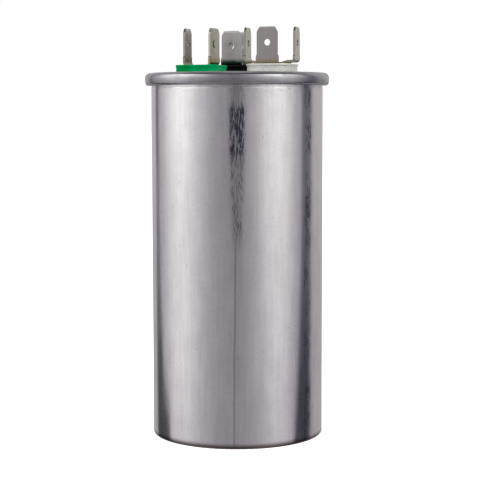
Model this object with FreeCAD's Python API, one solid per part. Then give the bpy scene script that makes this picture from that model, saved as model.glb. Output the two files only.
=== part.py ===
"""A round motor run capacitor: a drawn aluminium can closed by a double-seamed lid.

Three riveted terminals stand on moulded insulators on the lid. Inside, a two-section film
winding on a core tube sits in a plastic cup under an interrupter disc.
Lengths are millimetres. Z is the axis, z = 0 is the face that the can stands on, and -Y is the
side that the wide tab of the white terminal faces.
"""
import FreeCAD
import Part

import math
import os

# Can
can_diameter = 64.2
can_wall = 0.6
can_height = 136.0              # base to the top of the rolled seam
base_corner_radius = 1.0        # outside, where the wall meets the base
base_recess_depth = 0.4         # the middle of the base is pressed in, so that it stands on a ring
base_recess_diameter = 52.0

# Lid and double seam
lid_sheet = 0.65
seam_gap = 0.15                 # filled by the sealing compound over the can's hook
seam_height = 4.6
neck_depth = 0.1                # the seam's pressure sets the can's wall in by this
neck_drop = 1.4                 # foot of the seam down to the start of the neck
neck_run = 0.6
hook_end_gap = 0.25             # left free beyond the end of each hook
lid_panel_depth = 3.0           # top of the seam down to the raised panel
lid_groove_depth = 4.0          # top of the seam down to the groove round the panel
lid_groove_width = 2.0
lid_groove_slope = 1.0          # how far the step from groove to panel runs inwards
lid_bend_radius = 0.7           # middle of the sheet

# Terminals on the lid
terminal_circle_radius = 15.1
terminal_first_angle = 90.0     # the black terminal, measured from +X
terminal_step_angle = 120.0     # clockwise to the white terminal, and on to the green one
terminal_hole_clearance = 0.1

# Insulators: a square block with cut corners and a neck through the lid
insulator_side = 16.0
insulator_corner_cut = 1.8
insulator_edge_radius = 0.25
insulator_lip = 0.2             # the top stands out past the sides by this
insulator_lip_height = 0.7
insulator_recess_depth = 1.2
insulator_recess_wall = 1.2
insulator_neck_radius = 4.5
insulator_neck_length = 0.6     # below the underside of the lid
green_stand = 2.8               # top of the insulator above the top of the seam
black_stand = 3.2
white_stand = 3.2
gasket_thickness = 0.5
gasket_radius = 7.0
inner_washer_radius = 6.5
inner_washer_thickness = 2.2

# Rivets
rivet_radius = 2.0
rivet_head_radius = 2.9
rivet_head_height = 0.6
rivet_foot_radius = 3.2
rivet_foot_height = 0.8
rivet_clearance = 0.05

# Tab stampings
tab_sheet = 0.8
tab_width = 7.9
shoulder_width = 8.6
tab_rise = 13.4                 # insulator top to tab tip
shoulder_drop = 10.2            # tab tip to the shoulders
tip_cut_side = 1.1
tip_cut_down = 1.9
tip_edge_cut = 0.2              # both faces are cut back at the tip, to lead a receptacle on
tab_hole_drop = 5.7             # tab tip to the middle of the latch hole
tab_hole_diameter = 2.4
tab_dimple_depth = 0.35
narrow_bend_radius = 2.2        # middle of the sheet, in the two narrow stampings
front_bend_radius = 1.6
wide_bend_radius = 1.0
narrow_tab_gap = 1.2            # from a narrow stamping's blade to the wall of the recess
front_tab_gap = 0.4             # from the single blade to the wall of the recess
wide_tab_gap = 0.9              # from the insulator's side to a blade of the wide stamping
strap_gap = 0.1                 # between two crossing straps
strap_lift = 0.5                # the wide strap clears the insulator's wall by this
strap_slope_gap = 0.1           # from the wall of the recess to the top of the strap's slope
strap_slope_run = 2.3
front_strap_tail = 4.0          # the single tab's strap runs this far past the rivet
green_turn = 18.5               # each terminal is riveted on turned by this, clockwise from above
black_turn = 111.0
white_turn = 15.0
front_tab_turn = 18.0           # the single blade has turned a little further on its rivet

# Winding and what holds it
cup_clearance = 0.3             # between the cup and the can
cup_wall = 0.8
cup_floor = 1.2
cup_height = 12.0
cup_edge_cut = 0.5
wrap_clearance = 0.1            # between the wrap and the cup
wrap_thickness = 0.7
wrap_overhang = 12.0            # wrap above the top end spray
inner_section_radius = 19.3
separator_thickness = 0.7
core_outer_radius = 5.0
core_wall = 1.2
end_spray_thickness = 1.0
end_spray_margin = 0.3
interrupter_clearance = 0.5     # between the interrupter disc and the can
interrupter_thickness = 1.6
interrupter_drop = 5.75         # from the rivets' feet down to the disc

# Leads
lead_radius = 0.8
lead_bend_radius = 2.5
lead_hole_clearance = 0.4
lead_run_height = 3.2           # sideways runs lie this far below the rivets
sleeve_wall = 0.5
sleeve_gap = 0.05
sleeve_end_margin = 4.0

# Worked out from the sizes above
can_radius = can_diameter / 2
can_inner_radius = can_radius - can_wall
seam_stack = lid_sheet + 2 * seam_gap
can_hook_bend = (seam_stack + can_wall + neck_depth) / 2
lid_inner_radius = can_inner_radius - neck_depth - seam_gap - lid_sheet
seam_outer_radius = can_radius + 3 * seam_gap + 2 * lid_sheet + can_wall
seam_bottom = can_height - seam_height
lid_panel_top = can_height - lid_panel_depth
lid_underside = lid_panel_top - lid_sheet
washer_bottom = lid_underside - inner_washer_thickness
rivet_bottom = washer_bottom - rivet_foot_height
recess_half = insulator_side / 2 - insulator_recess_wall
narrow_half_span = recess_half - narrow_tab_gap - tab_sheet / 2
front_tab_reach = recess_half - front_tab_gap - tab_sheet / 2
wide_half_span = insulator_side / 2 + wide_tab_gap + tab_sheet / 2
base_inside = base_recess_depth + can_wall
spray_bottom = base_inside + cup_floor
winding_bottom = spray_bottom + end_spray_thickness
interrupter_top = rivet_bottom - interrupter_drop
interrupter_bottom = interrupter_top - interrupter_thickness
spray_top = interrupter_bottom - wrap_overhang
winding_top = spray_top - end_spray_thickness
cup_outer_radius = can_inner_radius - cup_clearance
wrap_radius = cup_outer_radius - cup_wall - wrap_clearance
winding_radius = wrap_radius - wrap_thickness
outer_section_inner = inner_section_radius + separator_thickness
outer_lead_circle = (outer_section_inner + winding_radius) / 2
lead_run_z = rivet_bottom - lead_run_height


def save(shape, name):
    """Write one sub-part and say what it holds."""
    shape = shape.removeSplitter()
    shape.exportStep(f"parts/{name}.step")
    print(f"{name}: {len(shape.Solids)} solid, {shape.Volume:.1f} mm3, valid {shape.isValid()}")


def vector(x, y, z):
    return FreeCAD.Vector(x, y, z)


def offset_corners(points, shift):
    """Corners of the path moved sideways by shift, to the left of its direction."""
    lines = []
    for (x0, z0), (x1, z1) in zip(points, points[1:]):
        length = math.hypot(x1 - x0, z1 - z0)
        dx, dz = (x1 - x0) / length, (z1 - z0) / length
        lines.append((x0 - shift * dz, z0 + shift * dx, dx, dz, length))
    moved = [lines[0][:2]]
    for (ax, az, adx, adz, _), (bx, bz, bdx, bdz, _) in zip(lines, lines[1:]):
        cross = adx * bdz - adz * bdx
        along = ((bx - ax) * bdz - (bz - az) * bdx) / cross
        moved.append((ax + along * adx, az + along * adz))
    x, z, dx, dz, length = lines[-1]
    moved.append((x + length * dx, z + length * dz))
    return moved


def rounded_edges(points, radii):
    """Lines and tangent arcs along a path in the XZ plane, one radius for each inner corner."""
    edges = []
    start = vector(points[0][0], 0, points[0][1])
    for before, corner, after, radius in zip(points, points[1:], points[2:], radii):
        middle = vector(corner[0], 0, corner[1])
        back = (vector(before[0], 0, before[1]) - middle).normalize()
        ahead = (vector(after[0], 0, after[1]) - middle).normalize()
        half = back.getAngle(ahead) / 2
        reach = radius / math.tan(half)
        into, out = middle + back * reach, middle + ahead * reach
        towards = (back + ahead).normalize()
        crown = middle + towards * (radius / math.sin(half) - radius)
        if (into - start).Length > 1e-6:
            edges.append(Part.LineSegment(start, into).toShape())
        edges.append(Part.Arc(into, crown, out).toShape())
        start = out
    end = vector(points[-1][0], 0, points[-1][1])
    if (end - start).Length > 1e-6:
        edges.append(Part.LineSegment(start, end).toShape())
    return edges


def sheet_face(points, radii, thickness):
    """Section of a bent sheet: the path is its middle line, each radius is the middle's."""
    sides = []
    for shift in (thickness / 2, -thickness / 2):
        side_radii = []
        for before, corner, after, radius in zip(points, points[1:], points[2:], radii):
            cross = (corner[0] - before[0]) * (after[1] - corner[1])
            cross -= (corner[1] - before[1]) * (after[0] - corner[0])
            side_radii.append(radius - shift * math.copysign(1, cross))
        sides.append(rounded_edges(offset_corners(points, shift), side_radii))
    left, right = sides
    start = Part.LineSegment(left[0].firstVertex(True).Point, right[0].firstVertex(True).Point)
    end = Part.LineSegment(left[-1].lastVertex(True).Point, right[-1].lastVertex(True).Point)
    edges = left + right + [start.toShape(), end.toShape()]
    return Part.Face(Part.Wire(Part.__sortEdges__(edges)))


def revolved(face):
    return face.revolve(vector(0, 0, 0), vector(0, 0, 1), 360)


def disc(radius, bottom, top):
    return Part.makeCylinder(radius, top - bottom, vector(0, 0, bottom))


def ring(outer, inner, bottom, top):
    return disc(outer, bottom, top).cut(disc(inner, bottom - 1, top + 1))


def terminal_centre(index):
    angle = math.radians(terminal_first_angle - terminal_step_angle * index)
    x = terminal_circle_radius * math.cos(angle)
    return vector(x, terminal_circle_radius * math.sin(angle), 0)


def terminals():
    """Colour, stand of the insulator and turn of each terminal, clockwise from the black one."""
    return (("black", black_stand, black_turn), ("white", white_stand, white_turn),
            ("green", green_stand, green_turn))


def placed(shape, index, turn):
    """Turn a terminal's piece clockwise and carry it to its place on the lid."""
    shape = shape.copy()
    shape.rotate(vector(0, 0, 0), vector(0, 0, 1), -turn)
    shape.translate(terminal_centre(index))
    return shape


def can():
    """Drawn can: recessed base, rounded corner, straight wall, neck and the hook of the seam."""
    middle = can_wall / 2
    wall = can_radius - middle
    neck = wall - neck_depth
    hook = can_radius + seam_stack + middle
    top = can_height - lid_sheet - seam_gap - middle
    hook_end = seam_bottom + lid_sheet + hook_end_gap
    step = base_recess_diameter / 2
    neck_start = seam_bottom - neck_drop
    path = [(0, base_recess_depth + middle), (step, base_recess_depth + middle),
            (step + 2 * base_recess_depth, middle), (wall, middle), (wall, neck_start),
            (neck, neck_start + neck_run), (neck, top), (hook, top), (hook, hook_end)]
    radii = [can_wall, can_wall, base_corner_radius - middle, can_wall, can_wall,
             can_hook_bend, can_hook_bend]
    return revolved(sheet_face(path, radii, can_wall))


def lid_path():
    """Middle line of the lid: panel, groove, wall inside the can, seam and hook."""
    middle = lid_sheet / 2
    panel = lid_panel_top - middle
    groove = can_height - lid_groove_depth - middle
    wall = lid_inner_radius + middle
    skirt = seam_outer_radius - middle
    hook = can_radius + seam_gap + middle
    groove_inner = wall - lid_groove_width - middle
    hook_top = can_height - lid_sheet - seam_gap - can_wall - hook_end_gap
    return [(0, panel), (groove_inner - lid_groove_slope, panel), (groove_inner, groove),
            (wall, groove), (wall, can_height - middle), (skirt, can_height - middle),
            (skirt, seam_bottom + middle), (hook, seam_bottom + middle), (hook, hook_top)]


def lid():
    """Lid with its seam curl, holed for the three terminals."""
    path = lid_path()
    top_bend = (path[5][0] - path[4][0]) / 2
    foot_bend = (path[6][0] - path[7][0]) / 2
    radii = [lid_bend_radius, lid_bend_radius, lid_bend_radius, top_bend, top_bend,
             foot_bend, foot_bend]
    shape = revolved(sheet_face(path, radii, lid_sheet))
    hole = insulator_neck_radius + terminal_hole_clearance
    for index in range(3):
        cutter = disc(hole, lid_underside - 1, lid_panel_top + 1)
        shape = shape.cut(placed(cutter, index, 0))
    return shape


def seam_compound():
    """Sealing compound between the can's rolled edge and the lid."""
    inner = can_wall / 2 + can_hook_bend
    centre_x = can_radius + (seam_stack - neck_depth) / 2
    centre_z = can_height - lid_sheet - seam_gap - inner
    outer = inner + seam_gap
    arcs = []
    for radius in (outer, inner):
        points = [vector(centre_x + radius * math.cos(angle), 0, centre_z + radius * math.sin(angle))
                  for angle in (0, math.pi / 2, math.pi)]
        arcs.append(Part.Arc(*points).toShape())
    ends = [Part.LineSegment(arcs[0].Vertexes[i].Point, arcs[1].Vertexes[i].Point).toShape()
            for i in (0, 1)]
    return revolved(Part.Face(Part.Wire(Part.__sortEdges__(arcs + ends))))


def cut_square(side, corner_cut, bottom, top):
    """A square block with its four upright corners cut off."""
    half = side / 2
    inner = half - corner_cut
    corners = [(inner, -half), (half, -inner), (half, inner), (inner, half),
               (-inner, half), (-half, inner), (-half, -inner), (-inner, -half)]
    points = [vector(x, y, bottom) for x, y in corners]
    face = Part.Face(Part.makePolygon(points + points[:1]))
    return face.extrude(vector(0, 0, top - bottom))


def insulator(stand):
    """Moulded block with a lip, a walled recess for the straps and a neck through the lid."""
    top = can_height + stand
    bottom = lid_panel_top + gasket_thickness
    block = cut_square(insulator_side, insulator_corner_cut, bottom, top)
    lip_side = insulator_side + 2 * insulator_lip
    lip = cut_square(lip_side, insulator_corner_cut, top - insulator_lip_height, top)
    rim = [edge for edge in lip.Edges if edge.BoundBox.ZMin > top - 1e-4]
    block = block.fuse(lip.makeFillet(insulator_edge_radius, rim))
    recess = cut_square(2 * recess_half, insulator_corner_cut, top - insulator_recess_depth, top + 1)
    neck = disc(insulator_neck_radius, lid_underside - insulator_neck_length, bottom)
    hole = disc(rivet_radius + rivet_clearance, lid_underside - 2, top + 1)
    return block.cut(recess).fuse(neck).cut(hole)


def gasket():
    hole = insulator_neck_radius + terminal_hole_clearance
    return ring(gasket_radius, hole, lid_panel_top, lid_panel_top + gasket_thickness)


def inner_washer():
    """Insulating washer under the lid, counterbored for the neck of the insulator."""
    body = ring(inner_washer_radius, rivet_radius + rivet_clearance, washer_bottom, lid_underside)
    seat = insulator_neck_radius + terminal_hole_clearance
    return body.cut(disc(seat, lid_underside - insulator_neck_length, lid_underside + 1))


def strap_top(stand, has_cross_strap):
    """Height of the topmost strap at the rivet."""
    top = can_height + stand - insulator_recess_depth + tab_sheet
    if has_cross_strap:
        top += strap_gap + tab_sheet
    return top


def rivet(stand, has_cross_strap):
    """Rivet with a domed head on the straps and a swaged foot under the inner washer."""
    seat = strap_top(stand, has_cross_strap)
    points = [(0, rivet_bottom), (rivet_foot_radius, rivet_bottom), (rivet_foot_radius, washer_bottom),
              (rivet_radius, washer_bottom), (rivet_radius, seat), (rivet_head_radius, seat)]
    edges = [Part.LineSegment(vector(a, 0, b), vector(c, 0, d)).toShape()
             for (a, b), (c, d) in zip(points, points[1:])]
    edge, crown = vector(rivet_head_radius, 0, seat), vector(0, 0, seat + rivet_head_height)
    slope = math.atan2(rivet_head_height, rivet_head_radius)
    dome = rivet_head_radius / math.sin(2 * slope)
    between = vector(dome * math.sin(slope), 0, seat + rivet_head_height - dome * (1 - math.cos(slope)))
    edges.append(Part.Arc(edge, between, crown).toShape())
    edges.append(Part.LineSegment(crown, vector(0, 0, rivet_bottom)).toShape())
    return revolved(Part.Face(Part.Wire(edges)))


def tab_outline(tip, foot, reach):
    """Blade as seen from its face: cut tip, parallel sides and wider shoulders, as a long bar."""
    half, shoulder = tab_width / 2, shoulder_width / 2
    side = [(half - tip_cut_side, tip), (half, tip - tip_cut_down), (half, tip - shoulder_drop),
            (shoulder, tip - shoulder_drop - (shoulder - half)), (shoulder, foot)]
    points = [vector(-reach, y, z) for y, z in side]
    points += [vector(-reach, -y, z) for y, z in reversed(side)]
    return Part.Face(Part.makePolygon(points + points[:1])).extrude(vector(2 * reach, 0, 0))


def bent_strap(path, radii, tip):
    """Stamping: a bent section as wide as the shoulders, trimmed to the blade's outline."""
    face = sheet_face(path, radii, tab_sheet)
    face.translate(vector(0, -shoulder_width / 2, 0))
    body = face.extrude(vector(0, shoulder_width, 0))
    foot = body.BoundBox.ZMin - 1
    reach = max(abs(body.BoundBox.XMin), body.BoundBox.XMax) + 1
    blade = tab_outline(tip, foot, reach).common(body)
    tips = [edge for edge in blade.Edges
            if edge.BoundBox.ZMin > tip - 1e-4 and edge.BoundBox.YLength > tab_sheet]
    blade = blade.makeChamfer(tip_edge_cut, tips)
    hole = Part.makeCylinder(rivet_radius + rivet_clearance, tip - foot, vector(0, 0, foot))
    return blade.cut(hole)


def latch_hole(tip, start, length):
    """Bar through a blade at the height of its latch hole, along X."""
    centre = vector(start, 0, tip - tab_hole_drop)
    return Part.makeCylinder(tab_hole_diameter / 2, length, centre, vector(1, 0, 0))


def narrow_tabs(stand):
    """Two upright blades on one strap, each with a dimple pressed into its outer face."""
    tip = can_height + stand + tab_rise
    strap = can_height + stand - insulator_recess_depth + tab_sheet / 2
    path = [(-narrow_half_span, tip), (-narrow_half_span, strap), (narrow_half_span, strap),
            (narrow_half_span, tip)]
    body = bent_strap(path, [narrow_bend_radius] * 2, tip)
    outside = narrow_half_span + tab_sheet / 2
    for start in (-outside, outside - tab_dimple_depth):
        body = body.cut(latch_hole(tip, start, tab_dimple_depth))
    return body


def wide_tabs(stand):
    """Two blades outside the insulator, on a strap that crosses over its wall."""
    tip = can_height + stand + tab_rise
    low = strap_top(stand, True) - tab_sheet / 2
    high = can_height + stand + strap_lift + tab_sheet / 2
    raised = recess_half - strap_slope_gap
    flat = raised - strap_slope_run
    path = [(-wide_half_span, tip), (-wide_half_span, high), (-raised, high), (-flat, low),
            (flat, low), (raised, high), (wide_half_span, high), (wide_half_span, tip)]
    radii = [wide_bend_radius] * 6
    body = bent_strap(path, radii, tip)
    return body.cut(latch_hole(tip, -2 * wide_half_span, 4 * wide_half_span))


def front_tab(stand):
    """Single blade that faces -Y, on a short strap under the wide one."""
    tip = can_height + stand + tab_rise
    strap = can_height + stand - insulator_recess_depth + tab_sheet / 2
    path = [(-front_strap_tail, strap), (front_tab_reach, strap), (front_tab_reach, tip)]
    body = bent_strap(path, [front_bend_radius], tip)
    body = body.cut(latch_hole(tip, 0, 2 * front_tab_reach))
    body.rotate(vector(0, 0, 0), vector(0, 0, 1), -90)
    return body


def build_terminals():
    for index, (colour, stand, turn) in enumerate(terminals()):
        crossed = colour == "white"
        save(placed(insulator(stand), index, turn), f"{colour}_insulator")
        save(placed(gasket(), index, turn), f"{colour}_gasket")
        save(placed(inner_washer(), index, turn), f"{colour}_inner_washer")
        save(placed(rivet(stand, crossed), index, turn), f"{colour}_rivet")
    save(placed(narrow_tabs(black_stand), 0, black_turn), "black_tabs")
    save(placed(narrow_tabs(green_stand), 2, green_turn), "green_tabs")
    save(placed(wide_tabs(white_stand), 1, white_turn), "white_side_tabs")
    save(placed(front_tab(white_stand), 1, front_tab_turn), "white_front_tab")


def round_wire(points):
    """Wire of lines and tangent arcs through points in space, swept to a round lead."""
    edges = []
    start = points[0]
    for before, corner, after in zip(points, points[1:], points[2:]):
        back = (before - corner).normalize()
        ahead = (after - corner).normalize()
        half = back.getAngle(ahead) / 2
        reach = lead_bend_radius / math.tan(half)
        into, out = corner + back * reach, corner + ahead * reach
        crown = corner + (back + ahead).normalize() * (lead_bend_radius / math.sin(half) - lead_bend_radius)
        edges.append(Part.LineSegment(start, into).toShape())
        edges.append(Part.Arc(into, crown, out).toShape())
        start = out
    edges.append(Part.LineSegment(start, points[-1]).toShape())
    path = Part.Wire(edges)
    circle = Part.Circle(points[0], vector(0, 0, 1), lead_radius).toShape()
    return path.makePipeShell([Part.Wire(circle)], True, True)


def lead_points(index, circle, bottom):
    """From a rivet's foot down, sideways to a circle round the axis, and down to a spray."""
    start = terminal_centre(index)
    length = start.Length
    landing = start * (circle / length)
    run, foot = vector(0, 0, lead_run_z), vector(0, 0, bottom)
    return [start + vector(0, 0, rivet_bottom), start + run, landing + run, landing + foot]


def leads():
    green = terminal_centre(2) + vector(0, 0, spray_top)
    straight = Part.makeCylinder(lead_radius, rivet_bottom - spray_top, green)
    outer = round_wire(lead_points(0, outer_lead_circle, spray_top))
    common = round_wire(lead_points(1, 0, winding_bottom))
    return {"green_lead": straight, "black_lead": outer, "common_lead": common}


def common_lead_sleeve():
    inner = lead_radius + sleeve_gap
    bottom, top = winding_bottom + sleeve_end_margin, interrupter_bottom - sleeve_end_margin
    return ring(inner + sleeve_wall, inner, bottom, top)


def interrupter_disc():
    """Insulating disc that the three leads pass through."""
    shape = disc(can_inner_radius - interrupter_clearance, interrupter_bottom, interrupter_top)
    hole = disc(lead_radius + lead_hole_clearance, interrupter_bottom - 1, interrupter_top + 1)
    outer = terminal_centre(0) * (outer_lead_circle / terminal_circle_radius)
    for place in (outer, vector(0, 0, 0), terminal_centre(2)):
        cutter = hole.copy()
        cutter.translate(place)
        shape = shape.cut(cutter)
    return shape


def winding_pieces():
    """Two film sections on one core tube, kept apart by a separator, with sprayed ends."""
    inner, split = inner_section_radius, outer_section_inner
    core = core_outer_radius
    margin = end_spray_margin
    return {
        "core_tube": ring(core, core - core_wall, winding_bottom, winding_top),
        "inner_winding": ring(inner, core, winding_bottom, winding_top),
        "winding_separator": ring(split, inner, winding_bottom, winding_top),
        "outer_winding": ring(winding_radius, split, winding_bottom, winding_top),
        "inner_end_spray": ring(inner - margin, core + margin, winding_top, spray_top),
        "outer_end_spray": ring(winding_radius - margin, split + margin, winding_top, spray_top),
        "bottom_end_spray": disc(winding_radius - margin, spray_bottom, winding_bottom),
    }


def wrap_sleeve():
    """Insulating wrap round the winding, which carries the interrupter disc on its top edge."""
    return ring(wrap_radius, winding_radius, spray_bottom, interrupter_bottom)


def bottom_cup():
    """Plastic cup that keeps the winding off the can."""
    cup_top = base_inside + cup_height
    body = disc(cup_outer_radius, base_inside, cup_top)
    foot = [edge for edge in body.Edges if edge.BoundBox.ZMax < base_inside + 1e-4]
    body = body.makeChamfer(cup_edge_cut, foot)
    return body.cut(disc(cup_outer_radius - cup_wall, spray_bottom, cup_top + 1))


def build_inside():
    pieces = winding_pieces()
    pieces.update(leads())
    pieces["common_lead_sleeve"] = common_lead_sleeve()
    pieces["interrupter_disc"] = interrupter_disc()
    pieces["wrap_sleeve"] = wrap_sleeve()
    pieces["bottom_cup"] = bottom_cup()
    for name, shape in pieces.items():
        save(shape, name)


os.makedirs("parts", exist_ok=True)
save(can(), "can")
save(lid(), "lid")
save(seam_compound(), "seam_compound")
build_terminals()
build_inside()
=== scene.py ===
"""Looks of the motor run capacitor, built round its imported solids.

The can, the lid, the mouldings, the rivets and the tabs are worked out again as smooth surfaces
from the same sizes as the solids. What is hidden inside keeps its solids and gets materials.
Shapes are worked out in millimetres, and the meshes are in metres.
"""

import math

import bmesh
import bpy
import numpy as np
from mathutils import Matrix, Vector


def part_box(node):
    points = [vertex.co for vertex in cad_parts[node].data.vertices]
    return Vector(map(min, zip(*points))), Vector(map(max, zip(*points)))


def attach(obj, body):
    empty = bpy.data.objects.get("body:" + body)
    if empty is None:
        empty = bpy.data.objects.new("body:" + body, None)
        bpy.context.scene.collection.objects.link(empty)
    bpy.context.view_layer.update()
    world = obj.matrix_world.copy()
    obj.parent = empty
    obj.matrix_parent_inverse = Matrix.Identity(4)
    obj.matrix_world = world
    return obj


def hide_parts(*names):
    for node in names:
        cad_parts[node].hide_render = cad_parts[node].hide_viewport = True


bl_info = {
    "name": "Motor run capacitor",
    "version": (1, 0, 0),
    "blender": (4, 5, 0),
    "location": "3D View > Sidebar > Capacitor",
    "description": "Surfaces, finishes and studio of a round motor run capacitor",
    "category": "Add Mesh",
}

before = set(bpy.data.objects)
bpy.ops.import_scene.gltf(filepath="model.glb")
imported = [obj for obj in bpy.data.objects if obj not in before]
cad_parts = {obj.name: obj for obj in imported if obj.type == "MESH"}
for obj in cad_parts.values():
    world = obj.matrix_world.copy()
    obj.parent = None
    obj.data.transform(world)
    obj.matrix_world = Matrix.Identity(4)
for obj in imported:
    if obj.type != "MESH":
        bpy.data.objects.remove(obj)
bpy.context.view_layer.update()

MM = 0.001
COLOURS = ("green", "black", "white")
TURNS = {"green": 18.5, "black": 111.0, "white": 15.0}    # degrees, clockwise from above
FRONT_TURN = 18.0                       # the white terminal's single tab, in degrees
SHARP = math.radians(32)                # an edge that turns by more stays sharp
NECK_RADIUS = 4.6                       # hole in the lid for each moulding's neck, in millimetres
CAMERA_PLACE = (0, -0.5467, 0.12335)    # metres; the reflection tent is centred at its height


def linear(code):
    """An sRGB hex colour as linear red, green, blue and alpha."""
    channels = np.array([int(code[i:i + 2], 16) for i in (1, 3, 5)]) / 255
    curved = ((channels + 0.055) / 1.055) ** 2.4
    return (*np.where(channels <= 0.04045, channels / 12.92, curved), 1.0)


def length(name, description, default):
    """A size in metres that Blender shows with its unit."""
    return bpy.props.FloatProperty(name=name, description=description, default=default,
                                   subtype="DISTANCE", unit="LENGTH", precision=5)


def colour(name, description, code):
    """A colour that Blender shows as a swatch, from its sRGB hex code."""
    return bpy.props.FloatVectorProperty(name=name, description=description, size=4, min=0, max=1,
                                         default=linear(code), subtype="COLOR")


class CanSettings(bpy.types.PropertyGroup):
    """Sizes and colours of the can and the lid."""
    steps: bpy.props.IntProperty(name="Steps", description="Faces round the can", default=344)
    wave: length("Wave", "Depth of the drawn wall's long waves", 0.000004)
    metal: colour("Can", "Drawn aluminium of the can", "#E7E4E5")
    shade: colour("Can streaks", "Darker grain of the can", "#D2CED0")
    lid: colour("Lid", "Rolled aluminium of the lid and its seam", "#CDCCD0")


class TerminalSettings(bpy.types.PropertyGroup):
    """Sizes and colours of the terminals."""
    blade: length("Blade", "Width of a tab's blade", 0.0079)
    shoulder: length("Shoulder", "Width of a tab below its shoulders", 0.0086)
    sheet: length("Sheet", "Thickness of the stampings", 0.0008)
    rise: length("Rise", "Top of the moulding to the tip of a tab", 0.0134)
    hole: length("Latch hole", "Diameter of the latch hole or dimple", 0.0024)
    side: length("Side", "Side of a moulding across its flats", 0.016)
    corner: length("Corner", "Cut corner of a moulding", 0.0018)
    edge: length("Edge", "Rounding of a stamping's edges", 0.00016)
    metal: colour("Tabs", "Tin over the brass of the tabs", "#D3CFC0")
    grey: colour("Grey tabs", "Thicker tin over the black terminal's tabs", "#D0CCCA")
    dull: colour("Dull tab", "Older tin over the white terminal's single tab", "#C0BEB8")
    # Tarnish in the bends of the tabs, with painted shade and painted reflection of the mouldings
    tarnish_and_reflection: colour("Stain", "Brown tarnish in the bends", "#B0A27C")
    # Painted reflection of the green moulding in the bends of the black terminal's tabs
    green_reflection: colour("Verdigris", "Green tarnish in the bends", "#3C5A48")
    green: colour("Green", "Green moulding", "#00955C")
    black: colour("Black", "Black moulding", "#060606")
    white: colour("White", "White moulding", "#BFC0B9")


class StudioSettings(bpy.types.PropertyGroup):
    """Light of the studio."""
    lamp: bpy.props.FloatProperty(name="Lamp", description="Power of each soft lamp", default=13.0,
                                  unit="POWER")
    sky: bpy.props.FloatProperty(name="Sky", description="Level of the even light", default=0.65)
    tent: length("Tent", "Radius of the reflection tent", 0.9)
    floor: colour("Floor", "Pale floor", "#E6E6E6")


# Shapes


def run_points(start, end, step):
    """Even steps along a straight run, with neither of its ends."""
    count = max(1, int(np.ceil(np.linalg.norm(end - start) / step)))
    share = np.linspace(0, 1, count + 1)[1:-1, None]
    return start + (end - start) * share


def bent_path(corners, radii, step, arc_steps):
    """Points and left-hand normals of a line that turns by a tangent arc at each inner corner.

    The arc's centre lies on the bisector, radius / sin(half the corner's angle) from the corner.
    """
    corners = np.array(corners, float)
    points, start = [corners[:1]], corners[0]
    for before, corner, after, radius in zip(corners, corners[1:], corners[2:], radii):
        back, ahead = before - corner, after - corner
        back, ahead = back / np.linalg.norm(back), ahead / np.linalg.norm(ahead)
        half = math.acos(np.clip(back @ ahead, -1, 1)) / 2
        into = corner + back * radius / math.tan(half)
        bisector = (back + ahead) / np.linalg.norm(back + ahead)
        centre = corner + bisector * radius / math.sin(half)
        side = math.copysign(1, back[1] * ahead[0] - back[0] * ahead[1])
        first = math.atan2(*(into - centre)[::-1])
        angle = first + side * (math.pi - 2 * half) * np.linspace(0, 1, arc_steps + 1)
        arc = centre + radius * np.stack([np.cos(angle), np.sin(angle)], -1)
        points += [run_points(start, into, step), arc]
        start = arc[-1]
    points += [run_points(start, corners[-1], step), corners[-1:]]
    points = np.concatenate(points)
    apart = np.linalg.norm(np.diff(points, axis=0), axis=1) > 1e-6
    points = points[np.concatenate([[True], apart])]
    along = np.gradient(points, axis=0)
    along /= np.linalg.norm(along, axis=1, keepdims=True)
    return points, np.stack([-along[:, 1], along[:, 0]], -1)


def sheet_section(corners, radii, thickness, step, arc_steps=10):
    """Section of a bent sheet: its middle line moved out by half the thickness, there and back."""
    points, left = bent_path(corners, radii, step, arc_steps)
    half = left * thickness / 2
    return np.concatenate([points + half, (points - half)[::-1]])


def revolved(section, steps):
    """A section of radius and height turned round Z: rows follow it, columns go round."""
    angle = np.linspace(0, 2 * np.pi, steps, endpoint=False)
    radius, height = section[:, :1], section[:, 1:]
    return np.stack([radius * np.cos(angle), radius * np.sin(angle), height + 0 * angle], -1)


def new_piece(name, grid, ends, material):
    """Mesh piece from rows of points in millimetres, with the columns closed round.

    Ends is ring where the last row joins the first, caps where each end row gets a face, and
    poles where each end row is one point.
    """
    rows, columns = grid.shape[:2]
    index = np.arange(rows * columns).reshape(rows, columns)
    ahead = np.roll(index, -1, axis=1)
    quads = np.stack([index, ahead, np.roll(ahead, -1, axis=0), np.roll(index, -1, axis=0)], -1)
    if ends != "ring":
        quads = quads[:-1]
    faces = quads.reshape(-1, 4).tolist()
    if ends == "caps":
        faces += [index[0, ::-1].tolist(), index[-1].tolist()]
    mesh = bpy.data.meshes.new(name)
    mesh.from_pydata((grid.reshape(-1, 3) * MM).tolist(), [], faces)
    shape = bmesh.new()
    shape.from_mesh(mesh)
    bmesh.ops.remove_doubles(shape, verts=shape.verts, dist=1e-7)
    if shape.calc_volume(signed=True) < 0:
        bmesh.ops.reverse_faces(shape, faces=shape.faces)
    shape.to_mesh(mesh)
    shape.free()
    piece = bpy.data.objects.new(name, mesh)
    bpy.context.scene.collection.objects.link(piece)
    smooth(piece)
    if material:
        mesh.materials.append(material)
    return piece


def smooth(piece):
    """Smooth shading that stops at the sharp edges."""
    mesh = piece.data
    mesh.polygons.foreach_set("use_smooth", np.ones(len(mesh.polygons), bool))
    mesh.set_sharp_from_angle(angle=SHARP)


def cut(piece, cutter):
    """Take the cutter's solid out of the piece at once."""
    step = piece.modifiers.new("cut", "BOOLEAN")
    step.operation, step.solver, step.object = "DIFFERENCE", "EXACT", cutter
    bpy.context.view_layer.update()
    seen = piece.evaluated_get(bpy.context.evaluated_depsgraph_get())
    mesh = bpy.data.meshes.new_from_object(seen)
    mesh.name = piece.name
    piece.modifiers.clear()
    piece.data = mesh
    bpy.data.objects.remove(cutter)
    smooth(piece)


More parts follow.
